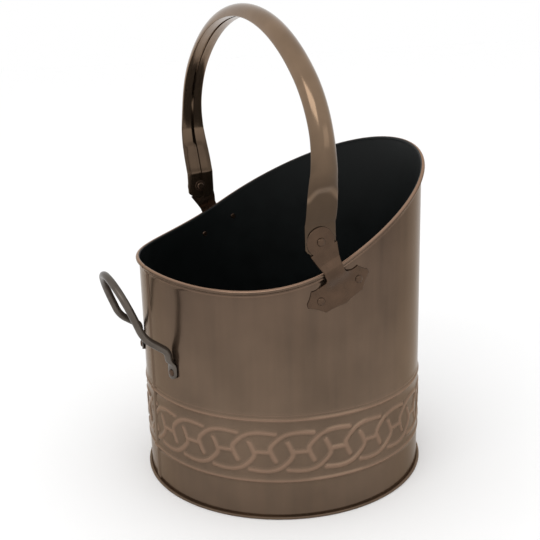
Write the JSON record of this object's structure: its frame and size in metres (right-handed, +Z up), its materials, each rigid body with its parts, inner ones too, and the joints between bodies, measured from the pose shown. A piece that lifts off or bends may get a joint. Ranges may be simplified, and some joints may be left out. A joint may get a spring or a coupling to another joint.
{
  "type": "log carrier",
  "caption": "Round sheet-metal hearth bucket with a mouth sweeping up to a pouring lip, a swinging hoop handle on riveted lugs and a fixed tipping handle at the back.",
  "frame": {"origin": "middle of the base on the floor", "axes": "+Z up, +X towards the pouring lip, -X towards the seam and the tipping handle, the hoop's pivot line along Y"},
  "size_m": [0.3568, 0.3614, 0.4953],
  "materials": {
    "copper_sheet": "antique copper lacquer, semi-gloss",
    "copper_fittings": "antique copper lacquer, semi-gloss",
    "bronze_tube": "golden brown lacquer, gloss",
    "dark_bar": "dark brown lacquer, semi-gloss",
    "rivets": "antique copper lacquer, semi-gloss"
  },
  "bodies": {
    "bucket": {"body_shell": "copper_sheet", "rim_bead": "copper_sheet", "base_pan": "copper_sheet", "bail_lug_right": "copper_fittings", "bail_lug_left": "copper_fittings", "lug_rivet_right_rear": "rivets", "lug_rivet_right_front": "rivets", "lug_rivet_left_rear": "rivets", "lug_rivet_left_front": "rivets", "grip_rivet_right": "rivets", "grip_rivet_left": "rivets", "pivot_rivet_right": "rivets", "pivot_rivet_left": "rivets", "pivot_washer_right": "rivets", "pivot_washer_left": "rivets", "rear_handle": "dark_bar"},
    "bail": {"bail": "bronze_tube"}
  },
  "joints": [
    {"name": "bail_swing", "type": "hinge", "parent": "bucket", "child": "bail", "pos_m": [-0.03065, 0, 0.28498], "axis": [0, 1, 0], "range_deg": [-120, 70]}
  ]
}
